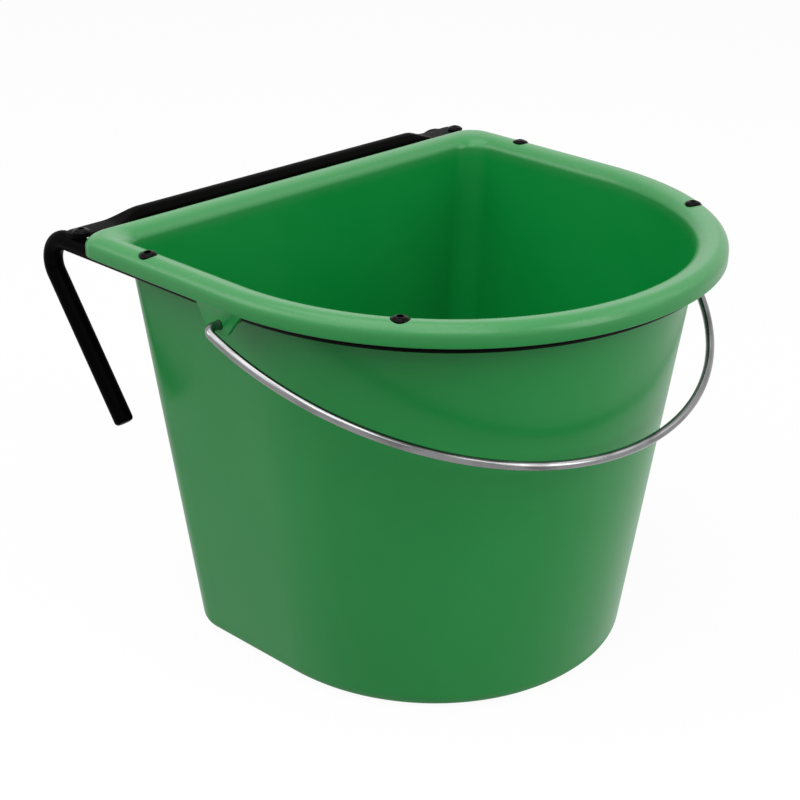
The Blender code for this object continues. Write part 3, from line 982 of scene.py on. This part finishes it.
@dataclass
class Tub:
    """The moulded tub: D plan, drafted walls, rolled rim, ear tabs, bosses and bolt seats."""

    layout: Layout
    finish: MouldedPlastic = MouldedPlastic()
    lip_corner: float = 0.014
    wall_corner: float = 0.0203
    side_draft: float = 0.133
    back_draft: float = 0.076
    side_wall_inset: float = 0.0174
    back_wall_inset: float = 0.0163
    base_fillet: float = 0.012
    crest_inset: float = 0.008
    rim_height: float = 0.013
    lip_face: float = 0.0056
    rim_inner_drop: float = 0.0085
    lip_edge_round: float = 0.0009
    boss_radius: float = 0.0055
    boss_root: float = 0.0011
    spot_margin: float = 0.0004
    tab_top_reach: tuple[float, float] = (0.0167, 0.0192)
    tab_bottom_reach: tuple[float, float] = (0.0056, 0.009)
    tab_step: float = 0.00025
    tab_corner: float = 0.003
    tab_corner_steps: int = 8
    tab_hole: float = 0.00305
    tab_edge: float = 0.0029
    front_segments: int = 168
    side_segments: int = 10
    corner_segments: int = 14
    back_segments: int = 24
    arc_segments: int = 18
    lip_edge_segments: int = 4
    wall_segments: int = 22
    round_segments: int = 48

    def plan_points(self, level: PlanLevel) -> list[Point]:
        """Return the plan's points at one level, in the order that every ring shares.

        Args:
            level: The plan's insets, corner and height.

        Returns:
            The points: round front, right side, right corner, back, left corner, left side.
        """
        half = self.layout.half_width - level.side_inset
        back = self.layout.back - level.back_inset
        radius = level.corner_radius
        side_end = back - radius
        back_end = half - radius
        flat: list[tuple[float, float]] = []
        for angle in even_steps(-math.pi, 0.0, self.front_segments):
            point = self.layout.front_point(half, angle, level.height)
            flat.append((point.x, point.y))
        for y in even_steps(0.0, side_end, self.side_segments)[1:-1]:
            flat.append((half, y))
        for angle in even_steps(0.0, math.pi / 2, self.corner_segments):
            flat.append((back_end + radius * math.cos(angle), side_end + radius * math.sin(angle)))
        for x in even_steps(back_end, -back_end, self.back_segments)[1:-1]:
            flat.append((x, back))
        for angle in even_steps(math.pi / 2, math.pi, self.corner_segments):
            flat.append((radius * math.cos(angle) - back_end, side_end + radius * math.sin(angle)))
        for y in even_steps(side_end, 0.0, self.side_segments)[1:-1]:
            flat.append((-half, y))
        return [(x, y, level.height) for x, y in flat]

    def drafted_inset(
        self, height: float, lip_inset: float, draft: float, floor: float, fillet: float
    ) -> tuple[float, float]:
        """Return a drafted wall's inset at a height, rounded into the floor.

        Args:
            height: The height above the base.
            lip_inset: The wall's inset at the lip.
            draft: How much it moves in for each metre down.
            floor: The floor's height.
            fillet: The radius between wall and floor.

        Returns:
            The inset, and how much of it the fillet adds.
        """
        slope = math.atan(draft)
        lip_height = self.layout.lip_height
        line = lip_inset + draft * (lip_height - height)
        if height >= floor + fillet * (1 - math.sin(slope)):
            return line, 0.0
        centre = lip_inset + draft * (lip_height - floor - fillet) + fillet / math.cos(slope)
        rise = floor + fillet - height
        inset = centre - math.sqrt(max(fillet**2 - rise**2, 0.0))
        return inset, inset - line

    def wall_level(self, height: float, thickness: float) -> PlanLevel:
        """Return the plan of the outer wall, or with a thickness of the inner wall.

        Args:
            height: The height above the base.
            thickness: How far inside the outer skin the wall lies.

        Returns:
            The plan at that height.
        """
        fillet = self.base_fillet - thickness
        side_lip = self.side_wall_inset + thickness / math.cos(math.atan(self.side_draft))
        back_lip = self.back_wall_inset + thickness / math.cos(math.atan(self.back_draft))
        side, side_round = self.drafted_inset(height, side_lip, self.side_draft, thickness, fillet)
        back, back_round = self.drafted_inset(height, back_lip, self.back_draft, thickness, fillet)
        corner = self.wall_corner - thickness - (side_round + back_round) / 2
        return PlanLevel(side, back, corner, height)

    def wall_levels(self, thickness: float) -> list[PlanLevel]:
        """Return one skin of the wall, from the flat floor up to the rim.

        Args:
            thickness: How far inside the outer skin it lies.

        Returns:
            Its plans, the lowest first.
        """
        fillet = self.base_fillet - thickness
        steepest = math.pi / 2 - math.atan(self.side_draft)
        turns = even_steps(0.0, steepest, self.arc_segments)
        heights = [thickness + fillet * (1 - math.cos(turn)) for turn in turns]
        top = self.layout.lip_height + self.rim_height - self.rim_inner_drop
        heights += even_steps(thickness + fillet, top, self.wall_segments)[:-1]
        return [self.wall_level(height, thickness) for height in heights]

    def rim_levels(self, thickness: float) -> list[PlanLevel]:
        """Return one skin of the rolled rim, from the wall over the crest to the lip's edge.

        Args:
            thickness: The wall's own for the rim's upper skin, or 0 for its underside.

        Returns:
            Its plans in that order.
        """
        under = self.layout.wall - thickness
        lip_height = self.layout.lip_height
        wall_end = self.wall_level(lip_height + self.rim_height - self.rim_inner_drop, thickness)
        crest = self.rim_height - under
        rows: list[tuple[float, float, float]] = []
        for angle in even_steps(math.pi / 2, 0.0, self.arc_segments):
            side = self.crest_inset + (wall_end.side_inset - self.crest_inset) * math.sin(angle)
            back = self.crest_inset + (wall_end.back_inset - self.crest_inset) * math.sin(angle)
            drop = (self.rim_inner_drop - under) * (1 - math.cos(angle))
            rows.append((side, back, lip_height + crest - drop))
        for angle in even_steps(0.0, math.pi / 2, self.arc_segments)[1:]:
            inset = self.crest_inset - (self.crest_inset - under) * math.sin(angle)
            rise = self.lip_face + (crest - self.lip_face) * math.cos(angle)
            rows.append((inset, inset, lip_height + rise))
        middle = self.layout.wall / 2
        for angle in even_steps(0.0, math.pi / 2, self.lip_edge_segments):
            step = self.lip_edge_round * (1 - math.cos(angle))
            inset = under + step if under < middle else under - step
            rows.append((inset, inset, lip_height + self.lip_edge_round * (1 - math.sin(angle))))
        levels = []
        lip_corner = self.lip_corner - under
        for side, back, height in rows:
            share = (side - under) / (wall_end.side_inset - under)
            corner = lip_corner + (wall_end.corner_radius - lip_corner) * share
            levels.append(PlanLevel(side, back, corner, height))
        return levels

    def shell(self) -> bmesh.types.BMesh:
        """Draw the tub from the inner floor over the rim to the base.

        Returns:
            The closed skin.
        """
        wall = self.layout.wall
        inner = self.wall_levels(wall) + self.rim_levels(wall)
        outer = self.wall_levels(0.0) + self.rim_levels(0.0)
        return lofted([self.plan_points(level) for level in inner + outer[::-1]])

    def tab_bottom(self) -> float:
        """Return the height of the ear tabs' lower edge."""
        return self.layout.pivot_height - self.tab_hole - self.tab_edge

    def tabs(self) -> bmesh.types.BMesh:
        """Make both ear tabs by cutting a band under the lip to the tab's outline.

        Returns:
            The two tabs.
        """
        wall, step = self.layout.wall, self.tab_step
        heights = (self.tab_bottom() - wall, self.layout.lip_height + wall / 2)
        levels = [PlanLevel(step, step, self.lip_corner - step, height) for height in heights]
        bm = lofted([self.plan_points(level) for level in levels], closed=False)
        bmesh.ops.recalc_face_normals(bm, faces=bm.faces)
        bmesh.ops.solidify(bm, geom=bm.faces[:], thickness=wall - 2 * step)
        band = plain_object("tab_band", bm)
        combine(band, self.tab_outline(), Join.COMMON)
        tabs = bmesh.new()
        tabs.from_mesh(band.data)
        bpy.data.meshes.remove(band.data)
        return tabs

    def tab_outline(self) -> bmesh.types.BMesh:
        """Draw a bar across the tub with the ear tab's outline as its section.

        Returns:
            The bar.
        """
        bm = bmesh.new()
        top = self.layout.lip_height + self.layout.wall / 3
        bottom = self.tab_bottom()
        reach = self.layout.half_width + self.layout.wall
        bmesh.ops.create_cube(bm, size=1.0)
        for vert in bm.verts:
            behind = int(vert.co.y > 0)
            height = top if vert.co.z > 0 else bottom
            share = (height - bottom) / (self.layout.lip_height - bottom)
            low, high = self.tab_bottom_reach[behind], self.tab_top_reach[behind]
            side = math.copysign(low + (high - low) * share, vert.co.y)
            vert.co = (math.copysign(reach, vert.co.x), self.layout.pivot_y + side, height)
        lower = [
            edge
            for edge in bm.edges
            if all(abs(vert.co.z - bottom) < SAME_POINT for vert in edge.verts)
            and abs(edge.verts[0].co.x - edge.verts[1].co.x) > reach
        ]
        bevel(bm, lower, self.tab_corner, self.tab_corner_steps)
        return bm

    def tab_holes(self) -> bmesh.types.BMesh:
        """Place the cutters of the ear tabs' holes.

        Returns:
            The two pins.
        """
        layout = self.layout
        start, end = layout.half_width - 2 * layout.wall, layout.half_width + layout.wall
        places = both_sides((start + end) / 2, layout.pivot_y, layout.pivot_height, "Y")
        return pins(places, self.tab_hole, end - start, self.round_segments)

    def bosses(self) -> bmesh.types.BMesh:
        """Make the bosses that stand on the bar under the rim bolts.

        Returns:
            The four bosses.
        """
        bottom = self.layout.bar_radius + self.layout.clearance
        top = self.layout.rim_seat - self.boss_root
        places = [place.matrix((top + bottom) / 2) for place in self.layout.bolts("rim")]
        return pins(places, self.boss_radius, top - bottom, self.round_segments)

    def bolt_cuts(self, place: BoltPlace) -> bmesh.types.BMesh:
        """Make the stepped cutter for one rim bolt's hole and spot face.

        Args:
            place: The bolt's place.

        Returns:
            The cutter.
        """
        seat, hole = self.layout.rim_seat, self.layout.bolt_hole
        start = self.layout.bar_radius / 2
        spot = self.layout.head_radius + self.spot_margin
        above = seat + self.layout.head_radius
        profile = ((0, start), (hole, start), (hole, seat), (spot, seat), (spot, above), (0, above))
        bm = turned(profile, self.round_segments)
        bmesh.ops.transform(bm, matrix=place.matrix(), verts=bm.verts)
        return bm

    def notches(self) -> bmesh.types.BMesh:
        """Place the cutters that let the bar out through the back lip.

        Returns:
            The two pins.
        """
        layout = self.layout
        start = layout.back - self.lip_corner - 2 * layout.bar_radius
        end = layout.back + layout.wall
        places = both_sides(layout.track, (start + end) / 2, layout.bar_height, "X")
        return pins(places, layout.bar_radius + layout.clearance, end - start, self.round_segments)

    def build(self) -> None:
        """Make the tub."""
        material = self.finish.material()
        tub = finished_piece(
            "moulded_tub", self.shell(), material, Body.TROUGH, "tub"
        )
        combine(tub, self.tabs(), Join.ADD)
        combine(tub, self.bosses(), Join.ADD)
        for place in self.layout.bolts("rim"):
            combine(tub, self.bolt_cuts(place))
        combine(tub, self.notches())
        combine(tub, self.tab_holes())


@dataclass
class HangerFrame:
    """The round bar: a U in the rim's channel and a hook on each end."""

    layout: Layout
    finish: CoatedSteel = BAR_COAT
    hook_setback: float = 0.022
    bend_radius: float = 0.0147
    lean: float = math.radians(36.8)
    leg: float = 0.1022
    tip_round: float = 0.0024
    round_segments: int = 40
    front_segments: int = 120
    bend_segments: int = 32

    def bar(self) -> bmesh.types.BMesh:
        """Run the bar from the left hook's tip round to the right hook's tip.

        Returns:
            The closed bar.
        """
        turn = math.pi / 2 + self.lean
        across = Vector((1.0, 0.0, 0.0))
        track = self.layout.track
        height = self.layout.bar_height
        bend_y = self.layout.back + self.hook_setback
        bend_height = height - self.bend_radius
        left_bend = Vector((-track, bend_y, bend_height))
        end = Vector((0.0, math.sin(turn), math.cos(turn))) * self.bend_radius
        outward = Vector((0.0, math.cos(turn), -math.sin(turn)))
        tip = left_bend + end + outward * self.leg
        bar = RoundBar(self.layout.bar_radius, self.round_segments, tip, -outward)
        bar.straight(self.leg)
        bar.bend(left_bend, across, turn, self.bend_segments)
        bar.straight(bend_y)
        angles = even_steps(-math.pi, 0.0, self.front_segments)
        bar.follow([self.layout.front_point(track, angle, height) for angle in angles], FORWARD)
        bar.straight(bend_y)
        bar.bend(Vector((track, bend_y, bend_height)), -across, turn, self.bend_segments)
        bar.straight(self.leg)
        return bar.finish(self.tip_round)

    def tapped_holes(self) -> bmesh.types.BMesh:
        """Place the cutters of the six bolts' blind holes.

        Returns:
            The six pins.
        """
        layout = self.layout
        bottom, top = layout.bar_radius - layout.tapped_depth, 2 * layout.bar_radius
        places = [place.matrix((top + bottom) / 2) for place in layout.bolts()]
        return pins(places, layout.bolt_hole, top - bottom, self.round_segments)

    def build(self) -> None:
        """Make the hanger frame."""
        material = self.finish.material()
        piece = finished_piece(
            "bar_frame", self.bar(), material, Body.TROUGH, "hanger_frame"
        )
        combine(piece, self.tapped_holes())


@dataclass
class BackBar:
    """The tube across the back, pressed flat where it is bolted down."""

    layout: Layout
    finish: CoatedSteel = BACK_BAR_COAT
    tube_radius: float = 0.00595
    setback: float = 0.0098
    lift: float = 0.0012
    flat_thickness: float = 0.0024
    flat_width: float = 0.0155
    flat_length: float = 0.0295
    overhang: float = 0.006
    corner_radius: float = 0.006
    flattening: float = 0.024
    hole_depth: float = 0.0096
    segments: int = 48
    flattening_segments: int = 24
    corner_segments: int = 14

    def section(
        self, x: float, centre_z: float, half_height: float, half_width: float
    ) -> list[Point]:
        """Return a round-ended section of the tube.

        Args:
            x: Where it stands.
            centre_z: The height of its centre.
            half_height: Half its height.
            half_width: Half its width.

        Returns:
            Its points.
        """
        straight = half_width - half_height
        centre_y = self.layout.back + self.setback
        points = []
        for index in range(self.segments):
            angle = 2 * math.pi * (index + 0.5) / self.segments
            y = half_height * math.cos(angle) + math.copysign(straight, math.cos(angle))
            points.append((x, centre_y + y, centre_z + half_height * math.sin(angle)))
        return points

    def half_sections(self) -> list[list[Point]]:
        """Shape the right half, from the tube to the rounded flat end.

        Returns:
            Its sections, the innermost first.
        """
        end = self.layout.track + self.overhang
        tube_end = end - self.flat_length - self.flattening
        flat_z = self.layout.bar_height + self.layout.flat_seat - self.flat_thickness / 2
        half_thickness = self.flat_thickness / 2
        sections = []
        for share in even_steps(0.0, 1.0, self.flattening_segments):
            ease = share * share * (3 - 2 * share)
            half_height = self.tube_radius + (half_thickness - self.tube_radius) * ease
            half_width = self.tube_radius + (self.flat_width / 2 - self.tube_radius) * ease
            x = tube_end + self.flattening * share
            centre_z = flat_z + self.lift * (1 - ease)
            sections.append(self.section(x, centre_z, half_height, half_width))
        for angle in even_steps(0.0, math.pi / 2, self.corner_segments):
            x = end - self.corner_radius * (1 - math.sin(angle))
            half_width = self.flat_width / 2 - self.corner_radius * (1 - math.cos(angle))
            sections.append(self.section(x, flat_z, half_thickness, half_width))
        return sections

    def tube(self) -> bmesh.types.BMesh:
        """Draw the tube from end to end.

        Returns:
            The closed tube.
        """
        right = self.half_sections()
        left = [[(-x, y, z) for x, y, z in section] for section in reversed(right)]
        return lofted(left + right)

    def build(self) -> None:
        """Make the back bar."""
        material = self.finish.material()
        piece = finished_piece(
            "flattened_back_bar", self.tube(), material, Body.TROUGH, "back_bar"
        )
        places = [place.matrix(self.layout.flat_seat) for place in self.layout.bolts("corner")]
        combine(piece, pins(places, self.layout.bolt_hole, self.hole_depth, self.segments))


@dataclass
class ButtonBolts:
    """The six button-head bolts."""

    layout: Layout
    finish: CoatedSteel = BOLT_COAT
    head_height: float = 0.0026
    head_edge: float = 0.0005
    head_taper: float = 0.0005 / 3
    crown_start: float = math.radians(24)
    crown_segments: int = 12
    shank_radius: float = 0.003
    socket_width: float = 0.004
    socket_depth: float = 0.0016
    socket_sides: int = 6
    end_gap: float = 0.0005
    thread_pitch: float = 0.001
    thread_depth: float = 0.0003
    segments: int = 48

    def profile(self, seat: float) -> list[tuple[float, float]]:
        """Return the bolt's profile with height 0 under the head.

        Args:
            seat: The seat's distance from the bar's centre line.

        Returns:
            Points from the head's crown to the shank's end.
        """
        layout = self.layout
        head = layout.head_radius
        shank_end = layout.bar_radius - layout.tapped_depth + self.end_gap - seat - layout.clearance
        crown = (self.head_height - self.head_edge) / math.cos(self.crown_start)
        points = [(0.0, self.head_height)]
        for angle in even_steps(self.crown_start, math.pi / 2, self.crown_segments):
            points.append((head * math.sin(angle), self.head_edge + crown * math.cos(angle)))
        points.append((head - self.head_taper, 0.0))
        points.append((self.shank_radius, 0.0))
        root = self.shank_radius - self.thread_depth
        height = -self.thread_pitch
        while height > shank_end + 2 * self.thread_pitch:
            points.append((self.shank_radius, height))
            points.append((root, height - self.thread_pitch / 2))
            height -= self.thread_pitch
        points.append((self.shank_radius, height))
        points.append((root, shank_end))
        points.append((0.0, shank_end))
        return points

    def build(self) -> None:
        """Make every bolt."""
        material = self.finish.material()
        for place in self.layout.bolts():
            lift = place.seat + self.layout.clearance
            bm = turned(self.profile(place.seat), self.segments)
            bmesh.ops.transform(bm, matrix=place.matrix(lift), verts=bm.verts)
            name = f"button_{place.node}"
            bolt = finished_piece(name, bm, material, Body.TROUGH, place.node)
            crown = [place.matrix(lift + self.head_height)]
            corner_radius = self.socket_width / math.sqrt(3)
            combine(bolt, pins(crown, corner_radius, 2 * self.socket_depth, self.socket_sides))


@dataclass
class Bail:
    """The wire bail, swung forward to where it rests."""

    layout: Layout
    finish: DrawnWire = DrawnWire()
    wire_radius: float = 0.00275
    side_gap: float = 0.0097
    reach: float = 0.182
    turn_radius: float = 0.006
    tail: float = 0.012
    rest_angle: float = math.radians(66)
    end_round: float = 0.0005
    round_segments: int = 28
    ring_segments: int = 180
    turn_segments: int = 20

    def wire(self) -> bmesh.types.BMesh:
        """Run the wire hanging down from the left tail to the right one, then swing it forward.

        Returns:
            The closed wire in place.
        """
        ring_radius = self.layout.half_width + self.side_gap
        turn_x = math.sqrt((ring_radius - self.turn_radius) ** 2 - self.turn_radius**2)
        join = math.atan2(self.turn_radius, turn_x)
        tail_x = self.layout.half_width - self.layout.wall - self.tail
        start, outward = Vector((-tail_x, 0.0, 0.0)), Vector((-1.0, 0.0, 0.0))
        wire = RoundBar(self.wire_radius, self.round_segments, start, outward)
        wire.straight(turn_x - tail_x)
        turn = math.pi / 2 + join
        wire.bend(Vector((-turn_x, 0.0, -self.turn_radius)), -FORWARD, turn, self.turn_segments)
        wire.bend(Vector(), -FORWARD, math.pi - 2 * join, self.ring_segments)
        wire.bend(Vector((turn_x, 0.0, -self.turn_radius)), -FORWARD, turn, self.turn_segments)
        wire.straight(turn_x - tail_x)
        bm = wire.finish(self.end_round)
        bmesh.ops.scale(bm, vec=(1.0, 1.0, self.reach / ring_radius), verts=bm.verts)
        pivot = Matrix.Translation((0.0, self.layout.pivot_y, self.layout.pivot_height))
        swing = pivot @ Matrix.Rotation(-self.rest_angle, 4, "X")
        bmesh.ops.transform(bm, matrix=swing, verts=bm.verts)
        return bm

    def build(self) -> None:
        """Make the bail."""
        material = self.finish.material()
        finished_piece("wire_bail", self.wire(), material, Body.HANDLE, "bail")


def direction(azimuth: float, elevation: float) -> Vector:
    """Return the direction that leads away from the trough.

    Args:
        azimuth: Its angle round the Z axis from X, in degrees.
        elevation: Its angle above the floor, in degrees.

    Returns:
        A vector of length 1.
    """
    turn, rise = math.radians(azimuth), math.radians(elevation)
    level = math.cos(rise)
    return Vector((math.cos(turn) * level, math.sin(turn) * level, math.sin(rise)))


@dataclass(frozen=True)
class Softbox:
    """A soft lamp placed by its direction from the trough, in degrees, with its size in metres."""

    name: str
    azimuth: float
    elevation: float
    width: float
    height: float
    radiance: float
    distance: float = 2.3


SOFTBOXES = (
    Softbox("overhead", 150, 79, 2.0, 1.7, 2.6),
    Softbox("left_back", 140, 32, 1.1, 1.1, 3.4),
    Softbox("left", 176, 42, 1.4, 1.3, 2.1),
    Softbox("front_left", 219, 47, 0.5, 1.2, 4.2),
    Softbox("front", 241, 47, 0.5, 1.2, 4.2),
    Softbox("front_right", 285, 24, 0.9, 1.7, 4.5),
    Softbox("right", 322, 36, 1.2, 1.4, 1.1),
    Softbox("far_side", 40, 35, 1.4, 1.4, 0.5),
)


@dataclass(frozen=True)
class Studio:
    """The floor, the lights and the camera."""

    camera_place: Point = (-0.8108, -0.7461, 0.6388)
    camera_azimuth: float = 223.716
    camera_elevation: float = 23.898
    camera_roll: float = 0.977
    lens: float = 85.2
    sensor: float = 36.0
    floor_size: float = 12.0
    aim: Point = (0.0, 0.0, 0.2)
    world_strength: float = 0.176

    def floor(self) -> None:
        """Lay the white floor."""
        bm = bmesh.new()
        bmesh.ops.create_grid(bm, x_segments=1, y_segments=1, size=self.floor_size)
        floor = plain_object("studio_floor", bm)
        floor.data.materials.append(StudioWhite().material())

    def world(self) -> None:
        """Light the room evenly, and show white to the camera and to reflections."""
        world = bpy.data.worlds.new("studio")
        bpy.context.scene.world = world
        world.use_nodes = True
        sheet = NodeSheet(world.node_tree, "ShaderNodeOutputWorld")
        strength = sheet.seen() * (1.0 - self.world_strength) + self.world_strength
        sockets = {"Color": WHITE, "Strength": strength}
        sheet.surface(sheet.node("ShaderNodeBackground", sockets=sockets))

    def hang(self, softbox: Softbox) -> None:
        """Hang one softbox facing the trough.

        Args:
            softbox: The softbox.
        """
        light = bpy.data.lights.new(softbox.name, "AREA")
        light.shape = "RECTANGLE"
        light.size, light.size_y = softbox.width, softbox.height
        light.energy = math.pi * softbox.width * softbox.height * softbox.radiance
        outward = direction(softbox.azimuth, softbox.elevation)
        lamp = bpy.data.objects.new(softbox.name, light)
        lamp.location = Vector(self.aim) + outward * softbox.distance
        lamp.rotation_euler = (-outward).to_track_quat("-Z", "Y").to_euler()
        bpy.context.scene.collection.objects.link(lamp)

    def camera(self) -> None:
        """Set the camera where the photograph was taken from."""
        data = bpy.data.cameras.new("photo_camera")
        data.lens = self.lens
        data.sensor_width = self.sensor
        camera = bpy.data.objects.new("photo_camera", data)
        back = direction(self.camera_azimuth, self.camera_elevation)
        right = direction(self.camera_azimuth + 90.0, 0.0)
        axes = Matrix((right, back.cross(right), back)).transposed().to_4x4()
        roll = Matrix.Rotation(math.radians(self.camera_roll), 4, "Z")
        camera.matrix_world = Matrix.Translation(self.camera_place) @ axes @ roll
        bpy.context.scene.collection.objects.link(camera)
        bpy.context.scene.camera = camera

    def build(self) -> None:
        """Set up the whole studio."""
        bpy.context.scene.view_settings.view_transform = "Standard"
        self.floor()
        self.world()
        for softbox in SOFTBOXES:
            self.hang(softbox)
        self.camera()


def main() -> None:
    """Build the trough and its studio."""
    logging.basicConfig(level=logging.INFO, format="%(name)s %(message)s")
    layout = Layout()
    Studio().build()
    Tub(layout).build()
    HangerFrame(layout).build()
    BackBar(layout).build()
    ButtonBolts(layout).build()
    Bail(layout).build()


if __name__ == "__main__":
    main()
